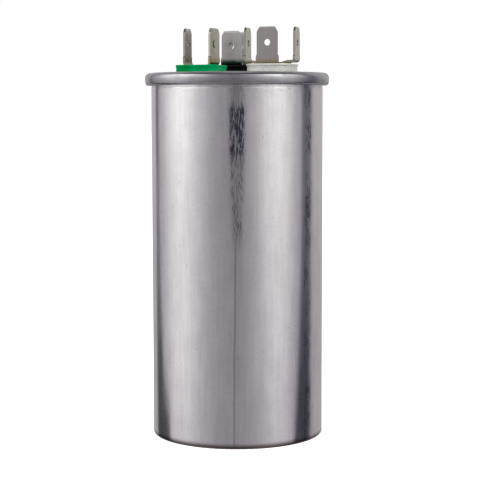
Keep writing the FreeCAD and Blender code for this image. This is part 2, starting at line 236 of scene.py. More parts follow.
def soften(piece, width):
    """Round the sharp edges of a piece."""
    step = piece.modifiers.new("edges", "BEVEL")
    step.width, step.segments, step.limit_method = width, 2, "ANGLE"
    step.angle_limit = SHARP
    step.harden_normals = True


def hand_over(piece, node):
    """The piece stands for the CAD node: it hangs under the root body, and the node is hidden."""
    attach(piece, "root")
    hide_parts(node)


def terminal(colour_name):
    """Centre on the lid and top of a terminal's moulding in millimetres, and its turn."""
    low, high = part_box(f"{colour_name}_insulator")
    centre = np.array(((low + high) / 2).to_tuple()) / MM
    return centre[0], centre[1], high.z / MM, math.radians(TURNS[colour_name])


def placed(grid, x, y, turn):
    """Points turned clockwise by turn about Z and moved to x, y."""
    sine, cosine = math.sin(turn), math.cos(turn)
    px, py = grid[..., 0], grid[..., 1]
    return np.stack([px * cosine + py * sine + x, py * cosine - px * sine + y, grid[..., 2]], -1)


def window(value, low, high, soft):
    """1 between low and high, eased to 0 over soft on each side by 3 squares less 2 cubes."""
    rise = np.clip((value - low) / soft + 0.5, 0, 1)
    fall = np.clip((high - value) / soft + 0.5, 0, 1)
    return (3 - 2 * rise) * rise ** 2 * (3 - 2 * fall) * fall ** 2


# Materials


def add(tree, kind, inputs=None, **settings):
    """Add a node. An input is a value or the socket that it is linked from."""
    node = tree.nodes.new("ShaderNode" + kind)
    for key, value in settings.items():
        setattr(node, key, value)
    for key, value in (inputs or {}).items():
        if isinstance(value, bpy.types.NodeSocket):
            tree.links.new(value, node.inputs[key])
        else:
            node.inputs[key].default_value = value
    return node


def new_material(name):
    """Empty material, its tree and the object coordinates."""
    material = bpy.data.materials.new(name)
    material.use_nodes = True
    tree = material.node_tree
    tree.nodes.clear()
    return material, tree, add(tree, "TexCoord").outputs["Object"]


def finish(material, tree, tint, rough, height, strength, depth, metallic=1.0, shine=0.5):
    """The bump, shader and output that each finish ends in; the bump's depth is in metres."""
    bump = add(tree, "Bump", {"Height": height, "Strength": strength, "Distance": depth})
    shader = add(tree, "BsdfPrincipled", {
        "Base Color": tint.outputs[2], "Metallic": metallic, "Roughness": rough.outputs[0],
        "Specular IOR Level": shine, "Normal": bump.outputs[0]})
    add(tree, "OutputMaterial", {"Surface": shader.outputs[0]})
    return material


def painted_reflections_and_score(tree, parts, around, tear, cloud):
    """How dark the wall is painted: painted reflections of the dark camera and of a dark flag, as
    torn streaks in two upright bands, and one long score.

    Each band is flat across its middle and fades at its sides. Where it is high, more of the
    tear noise passes.
    """
    # The front band is a painted reflection of the dark camera: 6 mm wide and dense at its top,
    # and 3 mm wide and sparse at its foot
    front = add(tree, "Math", {0: around, 1: -0.003}, operation="SUBTRACT")
    front = add(tree, "Math", {0: front.outputs[0]}, operation="ABSOLUTE")
    reach = add(tree, "MapRange", {"Value": parts["Z"], "From Min": 0.07, "From Max": 0.106,
                                   "To Min": 0.058, "To Max": 0.116})
    front = add(tree, "Math", {0: front.outputs[0], 1: reach.outputs[0]}, operation="DIVIDE")
    front = add(tree, "MapRange", {"Value": front.outputs[0], "From Min": 0.6, "From Max": 1.1,
                                   "To Min": 1.0, "To Max": 0.0})
    upper = add(tree, "MapRange", {"Value": parts["Z"], "From Min": 0.102, "From Max": 0.108,
                                   "To Min": 0.72, "To Max": 1.0})
    lower = add(tree, "MapRange", {"Value": parts["Z"], "From Min": 0.07, "From Max": 0.078})
    above = add(tree, "MapRange", {"Value": parts["Z"], "From Min": 0.1225, "From Max": 0.1258,
                                   "To Min": 1.0, "To Max": 0.58})
    for fade in (upper, lower, above):
        front = add(tree, "Math", {0: front.outputs[0], 1: fade.outputs[0]}, operation="MULTIPLY")
    # The side band is a painted reflection of a dark flag: it runs the wall's whole height, 5 mm
    # wide, and clouds break it up
    side = add(tree, "Math", {0: around, 1: 0.925}, operation="SUBTRACT")
    side = add(tree, "Math", {0: side.outputs[0]}, operation="ABSOLUTE")
    side = add(tree, "MapRange", {"Value": side.outputs[0], "From Min": 0.05, "From Max": 0.11,
                                  "To Min": 1.0, "To Max": 0.0})
    patchy = add(tree, "MapRange", {"Value": cloud, "From Min": 0.38, "From Max": 0.6,
                                    "To Min": 0.5, "To Max": 0.92})
    side = add(tree, "Math", {0: side.outputs[0], 1: patchy.outputs[0]}, operation="MULTIPLY")
    band = add(tree, "Math", {0: front.outputs[0], 1: side.outputs[0]}, operation="MAXIMUM")
    needed = add(tree, "MapRange", {"Value": band.outputs[0], "To Min": 0.72, "To Max": 0.405})
    over = add(tree, "Math", {0: tear, 1: needed.outputs[0]}, operation="SUBTRACT")
    torn = add(tree, "MapRange", {"Value": over.outputs[0], "From Max": 0.09})
    torn = add(tree, "MapRange", {"Value": torn.outputs[0], "To Min": 0.22})
    torn = add(tree, "Math", {0: torn.outputs[0], 1: band.outputs[0]}, operation="MULTIPLY")
    # The score leans 0.6 mm to the left on its way down, and wanders by half as much
    path = add(tree, "CombineXYZ", {"Z": parts["Z"]})
    path = add(tree, "Mapping", {"Vector": path.outputs[0], "Scale": (1, 1, 45)})
    waver = add(tree, "TexNoise", {"Vector": path.outputs[0], "Scale": 1, "Detail": 2})
    shift = add(tree, "MapRange", {"Value": waver.outputs[0], "To Min": -0.012, "To Max": 0.01})
    lean = add(tree, "MapRange", {"Value": parts["Z"], "From Min": 0.02, "From Max": 0.07,
                                  "To Min": -0.038, "To Max": -0.02})
    away = around
    for offset in (shift, lean):
        away = add(tree, "Math", {0: away, 1: offset.outputs[0]}, operation="SUBTRACT").outputs[0]
    away = add(tree, "Math", {0: away}, operation="ABSOLUTE")
    score = add(tree, "MapRange", {"Value": away.outputs[0], "From Min": 0.004,
                                   "From Max": 0.016, "To Min": 0.4, "To Max": 0.0})
    low = add(tree, "MapRange", {"Value": parts["Z"], "From Min": 0.085, "From Max": 0.075})
    score = add(tree, "Math", {0: score.outputs[0], 1: low.outputs[0]}, operation="MULTIPLY")
    return add(tree, "Math", {0: torn.outputs[0], 1: score.outputs[0]},
               operation="MAXIMUM").outputs[0]


def drawn_aluminium(settings):
    """Aluminium cup drawn through a die: fine upright streaks, painted dark reflections in two
    bands, a score, a soft mirror.
    """
    material, tree, place = new_material("drawn_aluminium")
    parts = add(tree, "SeparateXYZ", {"Vector": place}).outputs
    toward = add(tree, "Math", {0: parts["Y"], 1: -1.0}, operation="MULTIPLY")
    around = add(tree, "Math", {0: parts["X"], 1: toward.outputs[0]},
                 operation="ARCTAN2").outputs[0]
    # Streaks 1.2 mm wide and 20 mm long, tears 0.3 by 3 mm, a grain of 0.4 by 0.7 mm and clouds of
    # 6 by 9 mm: one over each size in metres, then the detail and roughness of the noise
    noises = []
    for scale, detail, roughness in (((800, 800, 50), 5, 0.5), ((3600, 3600, 340), 3, 0.65),
                                     ((2600, 2600, 1500), 4, 0.7), ((170, 170, 110), 4, 0.5)):
        spread = add(tree, "Mapping", {"Vector": place, "Scale": scale})
        noises.append(add(tree, "TexNoise", {"Vector": spread.outputs[0], "Scale": 1,
                                             "Detail": detail, "Roughness": roughness}).outputs[0])
    streak, tear, grain, cloud = noises
    both = add(tree, "Math", {0: grain, 1: 1.6, 2: streak}, operation="MULTIPLY_ADD").outputs[0]
    tone = add(tree, "Math", {0: both, 1: cloud}, operation="ADD").outputs[0]
    share = add(tree, "MapRange", {"Value": tone, "From Min": 1.35, "From Max": 2.25})
    bright = add(tree, "Mix", {"Factor": share.outputs[0], "A": settings.metal[:],
                               "B": settings.shade[:]}, data_type="RGBA")
    dark = painted_reflections_and_score(tree, parts, around, tear, cloud)
    # Painted shade and dark reflection with dust along the edge of the base, and painted shade
    # with grime in the crevice under the seam
    base = add(tree, "MapRange", {"Value": parts["Z"], "From Min": 0.0009, "From Max": 0.0023,
                                  "To Min": 0.92, "To Max": 0.0})
    neck = add(tree, "MapRange", {"Value": parts["Z"], "From Min": 0.13, "From Max": 0.1308,
                                  "To Max": 0.22})
    # Short level rubs under the seam, and a few pits 0.4 mm across
    level = add(tree, "Mapping", {"Vector": place, "Scale": (350, 350, 3000)})
    level = add(tree, "TexNoise", {"Vector": level.outputs[0], "Scale": 1, "Detail": 2})
    high = add(tree, "MapRange", {"Value": parts["Z"], "From Min": 0.127, "From Max": 0.1305,
                                  "To Min": 0.85, "To Max": 0.52})
    rub = add(tree, "Math", {0: level.outputs[0], 1: high.outputs[0]}, operation="SUBTRACT")
    rub = add(tree, "MapRange", {"Value": rub.outputs[0], "From Max": 0.1, "To Max": 0.4})
    spot = add(tree, "Mapping", {"Vector": place, "Scale": (700, 700, 700)})
    spot = add(tree, "TexNoise", {"Vector": spot.outputs[0], "Scale": 1, "Detail": 0})
    spot = add(tree, "MapRange", {"Value": spot.outputs[0], "From Min": 0.82, "From Max": 0.87,
                                  "To Max": 0.25})
    for mark in (neck, rub, spot):
        dark = add(tree, "Math", {0: dark, 1: mark.outputs[0]}, operation="MAXIMUM").outputs[0]
    # The painted reflections and the painted shade under the seam, with the score, rubs and pits,
    # turn the metal navy grey
    tint = add(tree, "Mix", {"Factor": dark, "A": bright.outputs[2], "B": linear("#4B4C5A")},
               data_type="RGBA")
    # The edge of the base takes a brown of painted shade with dust
    tint = add(tree, "Mix", {"Factor": base.outputs[0], "A": tint.outputs[2],
                             "B": linear("#57483F")}, data_type="RGBA")
    rough = add(tree, "MapRange", {"Value": streak, "From Min": 0.3, "From Max": 0.7,
                                   "To Min": 0.1, "To Max": 0.16})
    blur = add(tree, "MapRange", {"Value": cloud, "From Min": 0.45, "From Max": 0.7,
                                  "To Max": 0.06})
    rough = add(tree, "Math", {0: rough.outputs[0], 1: blur.outputs[0]}, operation="ADD")
    rough = add(tree, "MapRange", {"Value": dark, "To Min": rough.outputs[0], "To Max": 0.3})
    return finish(material, tree, tint, rough, both, 0.3, 0.021 * MM)


def rolled_aluminium(settings):
    """Lid sheet spun under the seaming rolls: fine lines round the axis and a satin shine."""
    material, tree, place = new_material("rolled_aluminium")
    parts = add(tree, "SeparateXYZ", {"Vector": place}).outputs
    flat = add(tree, "CombineXYZ", {"X": parts["X"], "Y": parts["Y"]})
    radius = add(tree, "VectorMath", {0: flat.outputs[0]}, operation="LENGTH").outputs["Value"]
    # Lines 0.5 mm apart, and patches of 5 by 2 mm
    rings = add(tree, "CombineXYZ", {"X": radius, "Z": parts["Z"]})
    lines = add(tree, "Mapping", {"Vector": rings.outputs[0], "Scale": (2200, 2200, 2200)})
    line = add(tree, "TexNoise", {"Vector": lines.outputs[0], "Scale": 1, "Detail": 3})
    patch = add(tree, "Mapping", {"Vector": place, "Scale": (220, 220, 500)})
    cloud = add(tree, "TexNoise", {"Vector": patch.outputs[0], "Scale": 1, "Detail": 5})
    tone = add(tree, "MapRange", {"Value": cloud.outputs[0], "From Min": 0.3, "From Max": 0.7})
    tint = add(tree, "Mix", {"Factor": tone.outputs[0], "A": settings.lid[:],
                             "B": linear("#B5B3B8")}, data_type="RGBA")
    # The skirt is darker towards its foot, and a line of painted shade with grime lies along the
    # foot
    dull = add(tree, "MapRange", {"Value": parts["Z"], "From Min": 0.1342, "From Max": 0.1325,
                                  "To Max": 0.45})
    skirt = add(tree, "MapRange", {"Value": radius, "From Min": 0.0334, "From Max": 0.0336})
    dull = add(tree, "Math", {0: dull.outputs[0], 1: skirt.outputs[0]}, operation="MULTIPLY")
    grime_and_shade = add(tree, "MapRange", {"Value": parts["Z"], "From Min": 0.1318, "From Max": 0.1315,
                                   "To Max": 0.8})
    dull = add(tree, "Math", {0: dull.outputs[0], 1: grime_and_shade.outputs[0]}, operation="MAXIMUM")
    # The darker skirt and the painted shade at its foot mix towards a dark grey
    tint = add(tree, "Mix", {"Factor": dull.outputs[0], "A": tint.outputs[2],
                             "B": linear("#4C464A")}, data_type="RGBA")
    rough = add(tree, "MapRange", {"Value": cloud.outputs[0], "From Min": 0.3, "From Max": 0.7,
                                   "To Min": 0.2, "To Max": 0.32})
    return finish(material, tree, tint, rough, line.outputs[0], 0.3, 0.02 * MM)


def tin_plated_brass(name, plating, tarnish_and_reflection_tone, tarnish_and_reflection_low, tarnish_and_reflection_high):
    """Brass strip under a thin matt tin: fine grain, soft shine, tarnish with painted shade and
    reflection in the bends.

    The tarnish and painted reflection are full below the low height and gone above the high one,
    both in millimetres.
    """
    material, tree, place = new_material(name)
    # A grain of 0.3 mm and patches of 3 mm
    grain_map = add(tree, "Mapping", {"Vector": place, "Scale": (3600, 3600, 3600)})
    grain = add(tree, "TexNoise", {"Vector": grain_map.outputs[0], "Scale": 1, "Detail": 4})
    patch_map = add(tree, "Mapping", {"Vector": place, "Scale": (350, 350, 350)})
    patch = add(tree, "TexNoise", {"Vector": patch_map.outputs[0], "Scale": 1, "Detail": 5})
    tone = add(tree, "MapRange", {"Value": grain.outputs[0], "From Min": 0.35, "From Max": 0.7})
    shade = tuple(0.78 * part for part in plating[:3]) + (1.0,)
    tin = add(tree, "Mix", {"Factor": tone.outputs[0], "A": plating[:], "B": shade},
              data_type="RGBA")
    parts = add(tree, "SeparateXYZ", {"Vector": place}).outputs
    # Tarnish with painted shade and reflection sits low in the bends
    low = add(tree, "MapRange", {"Value": parts["Z"], "From Min": tarnish_and_reflection_high * MM,
                                 "From Max": tarnish_and_reflection_low * MM})
    uneven = add(tree, "MapRange", {"Value": patch.outputs[0], "From Min": 0.35, "From Max": 0.6,
                                    "To Min": 0.6, "To Max": 1.0})
    tarnish_and_reflection = add(tree, "Math", {0: low.outputs[0], 1: uneven.outputs[0]}, operation="MULTIPLY")
    tint = add(tree, "Mix", {"Factor": tarnish_and_reflection.outputs[0], "A": tin.outputs[2],
                             "B": tarnish_and_reflection_tone[:]}, data_type="RGBA")
    rough = add(tree, "MapRange", {"Value": patch.outputs[0], "From Min": 0.3, "From Max": 0.7,
                                   "To Min": 0.24, "To Max": 0.36})
    return finish(material, tree, tint, rough, grain.outputs[0], 0.3, 0.03 * MM)


def grained(name, light, dark, grain, roughness, metallic=0.0, depth=0.01, stretch=(1, 1, 1),
            shine=0.5):
    """Body with a grain of that many millimetres between two tones, and a bump as deep as said."""
    material, tree, place = new_material(name)
    scale = tuple(part / (grain * MM) for part in stretch)
    mapping = add(tree, "Mapping", {"Vector": place, "Scale": scale})
    noise = add(tree, "TexNoise", {"Vector": mapping.outputs[0], "Scale": 1, "Detail": 5})
    tone = add(tree, "MapRange", {"Value": noise.outputs[0], "From Min": 0.3, "From Max": 0.7})
    tint = add(tree, "Mix", {"Factor": tone.outputs[0], "A": light, "B": dark}, data_type="RGBA")
    rough = add(tree, "MapRange", {"Value": noise.outputs[0], "From Min": 0.3, "From Max": 0.7,
                                   "To Min": roughness * 0.85, "To Max": roughness * 1.15})
    return finish(material, tree, tint, rough, noise.outputs[0], 0.4, depth * MM, metallic, shine)


# Pieces


def wall_waves(grid, depth, seed, low, high):
    """Long shallow waves that drawing leaves in a wall, in millimetres towards the axis.

    A sum of 14 cosines round the axis and up it, faded out below low and above high, and pushed
    inwards so that nothing grows. Depth is that of a wave with 14 crests round the wall, and one
    with more crests is shallower. The base inside a radius of 25 mm stays flat.
    """
    rng = np.random.default_rng(seed)
    angle = np.arctan2(grid[..., 1], grid[..., 0])
    height = grid[..., 2]
    total, deepest = 0 * angle, 0.0
    for _ in range(14):
        crests = rng.integers(6, 46)
        amount = depth * 14 / crests
        rise = rng.normal(0, 0.035)
        total = total + amount * np.cos(crests * angle + rise * height + rng.uniform(0, 2 * np.pi))
        deepest += amount
    fade = np.clip((height - low) / 3, 0, 1) * np.clip((high - height) / 3, 0, 1)
    radius = np.hypot(grid[..., 0], grid[..., 1])
    shrink = 1 - fade * (deepest * 0.5 - total) / np.maximum(radius, 1)
    shrink = np.where(radius > 25, np.minimum(shrink, 1), 1)
    waved = grid.copy()
    waved[..., 0] *= shrink
    waved[..., 1] *= shrink
    return waved


class OBJECT_OT_capacitor_can(bpy.types.Operator):
    """Drawn can: a base on a ring, a rounded corner, the wall, the neck and the rolled hook"""
    bl_idname = "object.capacitor_can"
    bl_label = "Can"

    def execute(self, context):
        settings = context.scene.can_settings
        # The sheet's middle line as radius and height: base, ring, wall, neck and hook
        corners = [(0, 0.7), (26, 0.7), (26.8, 0.3), (31.8, 0.3), (31.8, 130), (31.7, 130.6),
                   (31.7, 134.9), (33.35, 134.9), (33.35, 132.3)]
        bends = [0.6, 0.6, 0.7, 0.6, 0.6, 0.825, 0.825]
        section = sheet_section(corners, bends, thickness=0.6, step=2.5)
        grid = wall_waves(revolved(section, settings.steps), settings.wave / MM, seed=5,
                          low=2, high=129)
        piece = new_piece("can_shell", grid, "poles", drawn_aluminium(settings))
        hand_over(piece, "can")
        return {"FINISHED"}


class OBJECT_OT_capacitor_lid(bpy.types.Operator):
    """Pressed lid: raised panel, groove, wall and the curl of the double seam, with three holes"""
    bl_idname = "object.capacitor_lid"
    bl_label = "Lid"

    def execute(self, context):
        settings = context.scene.can_settings
        # The sheet's middle line: panel, groove, wall, top of the seam, skirt and return
        corners = [(0, 132.675), (27.6, 132.675), (28.6, 131.675), (30.925, 131.675),
                   (30.925, 135.675), (34.125, 135.675), (34.125, 131.725), (32.575, 131.725),
                   (32.575, 134.35)]
        bends = [0.7, 0.7, 0.7, 1.6, 1.6, 0.45, 0.45]
        section = sheet_section(corners, bends, thickness=0.65, step=0.5)
        # The seaming roll bends the skirt in: below its top it leans by the square of the drop
        skirt_top, skirt_radius, lean = 134.4, 33.3, 0.034
        drop = np.clip(skirt_top - section[:, 1], 0, None)
        section[:, 0] -= np.where(section[:, 0] > skirt_radius, lean * drop ** 2, 0)
        grid = revolved(section, settings.steps)
        piece = new_piece("lid_shell", grid, "poles", rolled_aluminium(settings))
        for name in COLOURS:
            x, y = terminal(name)[:2]
            bar = revolved(np.array([(NECK_RADIUS, 130.0), (NECK_RADIUS, 135.0)]), 96)
            cut(piece, new_piece("hole", placed(bar, x, y, 0), "caps", None))
        hand_over(piece, "lid")
        return {"FINISHED"}


def cut_square(side, corner, angle):
    """Distance from the centre to the outline of a square with cut and rounded corners.

    Eight straight sides, each at its own distance; the power mean of their nearness rounds
    the corners between them.
    """
    facing = np.arange(8) * np.pi / 4
    apart = np.where(np.arange(8) % 2 == 0, side / 2, (side - corner) / math.sqrt(2))
    near = np.maximum(np.cos(angle[:, None] - facing), 0) / apart
    power = 70.0
    return (near ** power).sum(1) ** (-1 / power)


class OBJECT_OT_capacitor_mouldings(bpy.types.Operator):
    """Moulded blocks: lip, rim, recess for the straps, rivet hole and a neck through the lid"""
    bl_idname = "object.capacitor_mouldings"
    bl_label = "Mouldings"

    def execute(self, context):
        settings = context.scene.terminal_settings
        side, corner = settings.side / MM, settings.corner / MM
        angle = np.linspace(0, 2 * np.pi, 320, endpoint=False)
        # Each flat side is set in by 0.1 mm over its middle third
        facing = (angle + np.pi / 4) % (np.pi / 2) - np.pi / 4
        across = cut_square(side, corner, angle) * np.sin(facing)
        inset = 0.1 * window(across, -2.8, 2.8, 0.6)
        body = cut_square(side - 0.3, corner, angle) - inset
        recess = cut_square(side - 2.4, corner, angle)
        one = np.ones_like(angle)
        seat, foot = 133.5, 131.75    # heights of the block's underside and of its neck's end
        # The lip's top edge is a quarter round of 0.25 mm
        quarter = np.linspace(0, np.pi / 2, 5)
        ease, rise = 0.25 * (1 - np.cos(quarter)), 0.25 * (1 - np.sin(quarter))
        # How far the lip stands out, the degrees that the block is turned past its straps, and the
        # grain, shade, roughness and shine of the plastic. Its filler gives it a dull gloss, and
        # mottles the green one in broad soft patches.
        for name, flare, more, grain, shade, roughness, shine in (
                ("green", 0.0, 0, 7, "#007538", 0.3, 0.03),
                ("black", 0.0, 0, 1.4, "#050505", 0.22, 0.25),
                ("white", 0.2, 5, 1.4, "#AFB0A9", 0.34, 0.25)):
            x, y, top, turn = terminal(name)
            lip = cut_square(side + flare, corner, angle) - inset
            # Reach and height of each row: outside, lip, recess, rivet hole and neck
            rows = [(body, seat), (body, top - 1.6), (body + 0.01, top - 1.1),
                    (body + 0.06, top - 0.9), (lip - 0.06, top - 0.7), (lip, top - 0.5)]
            rows += [(lip - back, top - drop) for back, drop in zip(ease, rise)]
            floor, hole, neck = top - 1.2, 2.05 * one, 4.5 * one
            rows += [(recess + 0.2, top), (recess + 0.06, top - 0.06), (recess, top - 0.2),
                     (recess - 0.03, floor), (recess * 0.6, floor), (hole, floor),
                     (hole, foot), (neck, foot), (neck, seat)]
            grid = np.stack([np.stack([reach * np.cos(angle), reach * np.sin(angle),
                                       one * height], -1) for reach, height in rows])
            moulded = grained(f"{name}_moulded_plastic", getattr(settings, name)[:], linear(shade),
                              grain, roughness, depth=0.02, shine=shine)
            grid = placed(grid, x, y, turn + math.radians(more))
            piece = new_piece(f"{name}_moulding", grid, "ring", moulded)
            hand_over(piece, f"{name}_insulator")
        return {"FINISHED"}


class OBJECT_OT_capacitor_rivets(bpy.types.Operator):
    """Rivets: domed head on the straps, shank and a swaged foot under the lid"""
    bl_idname = "object.capacitor_rivets"
    bl_label = "Rivets"

    def execute(self, context):
        settings = context.scene.terminal_settings
        # Tarnish and painted shade that end 1 mm above the floor never reach the rivets
        material = tin_plated_brass("tin_plated_rivet", settings.metal, settings.tarnish_and_reflection,
                                    tarnish_and_reflection_low=0, tarnish_and_reflection_high=1)
        washer, foot = 130.15, 129.35    # heights that the swaged foot starts and ends at
        for name in COLOURS:
            x, y, top, _ = terminal(name)
            # The head sits on the straps, and white has two of them
            seat = top - 0.4 + (0.9 if name == "white" else 0)
            quarter = np.linspace(0, 1, 12) * np.pi / 2
            dome = np.stack([2.9 * np.sin(quarter), seat + 0.6 * np.cos(quarter)], -1)
            shank = [(2.0, seat), (2.0, washer), (3.2, washer), (3.2, foot), (0, foot)]
            section = np.concatenate([dome, shank])
            piece = new_piece(f"{name}_rivet_head", placed(revolved(section, 64), x, y, 0),
                              "poles", material)
            hand_over(piece, f"{name}_rivet")
        return {"FINISHED"}


def stamping(corners, bend, settings):
    """Bent strip with cut tips, shoulders and thinned ends.

    The middle line gives the rows. Across it the strip is a rectangle, whose half width and half
    thickness follow the drop below the tips: cut tip, blade, then the wider strip.
    """
    sheet = settings.sheet / MM
    points, left = bent_path(corners, [bend] * (len(corners) - 2), step=0.45, arc_steps=14)
    drop = points[:, 1].max() - points[:, 1]
    blade, shoulder = settings.blade / MM / 2, settings.shoulder / MM / 2
    tip_cut, tip_drop, free, thinned = 1.1, 1.9, 10.2, 0.2
    fall = (0, tip_drop, free, free + shoulder - blade)
    wide = np.interp(drop, fall, (blade - tip_cut, blade, blade, shoulder))
    thick = np.interp(drop, (0, thinned), (sheet / 2 - thinned, sheet / 2))
    across = np.array([(1, 1), (1, -1), (-1, -1), (-1, 1)])
    x = points[:, :1] + left[:, :1] * thick[:, None] * across[:, 0]
    z = points[:, 1:] + left[:, 1:] * thick[:, None] * across[:, 0]
    y = wide[:, None] * across[:, 1]
    return np.stack([x, y, z], -1)


def detent(hole, depth, face, outward):
    """Pad along X that presses a dish into a blade's face, in millimetres.

    The dish has a flat floor over 0.6 of its radius, then rises by a cosine's half wave. The pad
    stands 0.3 mm proud of the face and is 0.2 mm wider than the dish.
    """
    reach = np.concatenate([[0], np.linspace(0.6, 1, 9)])
    rise = 0.5 - 0.5 * np.cos(np.pi * np.clip((reach - 0.6) / 0.4, 0, 1))
    dish = np.stack([hole * reach, face - outward * depth * (1 - rise)], -1)
    lens = np.concatenate([dish, [(hole + 0.2, face + outward * 0.3), (0, face + outward * 0.3)]])
    return revolved(lens, 40)[..., [2, 1, 0]]


def round_bar(radius, start, end):
    """Bar along X, from start to end, that cuts a round hole."""
    section = np.array([(0, start), (radius, start), (radius, end), (0, end)])
    return revolved(section, 40)[..., [2, 1, 0]]


def twisted(grid, reach, strap, bend, twist):
    """Turn the blades at minus and plus reach about their own middles, by twist in degrees.

    The turn grows from nothing at the strap's height to the whole at the top of the bend, and
    leaves the strap within 1 mm of its middle alone.
    """
    for side, angle in zip((-1, 1), twist):
        middle = (side * reach, 0, 0)
        share = np.clip((grid[..., 2:] - strap) / bend, 0, 1) * (side * grid[..., :1] > 1)
        turned = placed(grid - middle, 0, 0, math.radians(angle)) + middle
        grid = grid + (turned - grid) * share
    return grid


class OBJECT_OT_capacitor_tabs(bpy.types.Operator):
    """Tab stampings: two narrow forks, the wide fork and the single tab under it"""
    bl_idname = "object.capacitor_tabs"
    bl_label = "Tabs"

    def execute(self, context):
        settings = context.scene.terminal_settings
        hole = settings.hole / MM / 2
        hole_drop = 5.7    # millimetres from a tip to the middle of its hole or dimple
        tin, brown = settings.metal, settings.tarnish_and_reflection
        # The strap's play under the rivet head, how much lower its tips are, the twist of its left
        # and right blade in degrees, its tin, and the tarnish with painted shade in its bends (on
        # the black terminal a painted reflection of the green moulding) with the height that it
        # reaches
        for name, node, kind, play, short, twist, plating, tarnish_and_reflection, reach in (
                ("green", "green_tabs", "narrow", -0.3, 0, (-2.5, 6), tin, brown, 3.0),
                ("black", "black_tabs", "narrow", -0.17, 0.35, (0, 0), settings.grey,
                 settings.green_reflection, 2.6),
                ("white", "white_side_tabs", "wide", -0.2, 0, (0, 0), tin, brown, 1.6),
                ("white", "white_front_tab", "front", -0.17, 0, (0, 0), settings.dull, brown,
                 2.0)):
            x, y, top, turn = terminal(name)
            tip, strap = top + settings.rise / MM - short, top - 0.8
            if kind == "narrow":
                corners, bend = [(-5.2, tip), (-5.2, strap), (5.2, strap), (5.2, tip)], 2.2
                # A dimple in each outer face, and a smaller one in the left blade's inner face
                cutters = [detent(hole, 0.2, -5.6, -1), detent(0.6 * hole, 0.15, -4.8, 1),
                           detent(hole, 0.2, 5.6, 1)]
            elif kind == "wide":
                high, low = top + 0.9, top + 0.1
                corners = [(-9.3, tip), (-9.3, high), (-6.7, high), (-4.4, low), (4.4, low),
                           (6.7, high), (9.3, high), (9.3, tip)]
                bend, cutters = 1.0, [round_bar(hole, -12, 12)]
            else:
                corners, bend = [(-4, strap), (6.0, strap), (6.0, tip)], 1.6
                turn, cutters = math.radians(90 + FRONT_TURN), [round_bar(hole, 3, 9)]
            bent = (corners[-1][0], strap, bend, twist)
            grid = placed(twisted(stamping(corners, bend, settings), *bent), x + play, y, turn)
            metal = tin_plated_brass(f"{node}_tin_plated_brass", plating, tarnish_and_reflection,
                                     top + reach - 1.1, top + reach)
            piece = new_piece(node.replace("tab", "stamped_tab"), grid, "caps", metal)
            for cutter in cutters:
                cutter = twisted(cutter + (0, 0, tip - hole_drop), *bent)
                cut(piece, new_piece("hole", placed(cutter, x + play, y, turn), "poles", None))
            soften(piece, settings.edge)
            hand_over(piece, node)
        return {"FINISHED"}


class OBJECT_OT_capacitor_inside(bpy.types.Operator):
    """Finishes of the hidden parts, which keep their solids"""
    bl_idname = "object.capacitor_inside"
    bl_label = "Inside"

    def execute(self, context):
        for node, material in inside_materials().items():
            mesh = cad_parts[node].data
            mesh.materials.clear()
            mesh.materials.append(material)
        return {"FINISHED"}


def inside_materials():
    """Each hidden CAD node's material, named for what it is made of.

    Rubber, compound and fibre board are dull and dark, the moulded and drawn plastics waxy and
    pale. Wound film and tinned wire shine along their length, and sprayed zinc is rough and grey.
    """
    rubber = grained("pressed_rubber", linear("#262525"), linear("#161616"), 0.6, 0.7)
    compound = grained("sealing_compound", linear("#2A2A2C"), linear("#1A1A1B"), 0.4, 0.6)
    washer = grained("moulded_polyamide", linear("#D8D3C4"), linear("#C9C3B2"), 0.8, 0.5)
    copper = grained("tinned_copper", linear("#D6D0C6"), linear("#B9B1A4"), 0.3, 0.35, 1.0,
                     stretch=(1, 1, 0.1))
    core = grained("extruded_polypropylene", linear("#E2DED0"), linear("#D2CDBC"), 0.5, 0.45,
                   stretch=(1, 1, 0.05))
    film = grained("metallised_film", linear("#C6C8CE"), linear("#A7A9B1"), 0.2, 0.3, 0.8,
                   stretch=(1, 1, 0.05))
    separator = grained("clear_film", linear("#DCDCD4"), linear("#CDCDC4"), 0.5, 0.3)
    zinc = grained("sprayed_zinc", linear("#B9B9BA"), linear("#8C8C8E"), 0.25, 0.75, 0.9, 0.06)
    wrap = grained("polyester_wrap", linear("#DED4B4"), linear("#CEC3A0"), 0.9, 0.35)
    cup = grained("moulded_polypropylene", linear("#E6E6E1"), linear("#D9D9D3"), 1.0, 0.5)
    fibre = grained("pressed_fibre_board", linear("#8A6240"), linear("#6C4A2E"), 0.35, 0.85,
                    depth=0.04, stretch=(1, 1, 4))
    table = {"seam_compound": compound, "core_tube": core, "inner_winding": film,
             "outer_winding": film, "winding_separator": separator,
             "common_lead_sleeve": separator, "inner_end_spray": zinc, "outer_end_spray": zinc,
             "bottom_end_spray": zinc, "green_lead": copper, "black_lead": copper,
             "common_lead": copper, "interrupter_disc": fibre, "wrap_sleeve": wrap,
             "bottom_cup": cup}
    for name in COLOURS:
        table[f"{name}_gasket"] = rubber
        table[f"{name}_inner_washer"] = washer
    return table


# Studio


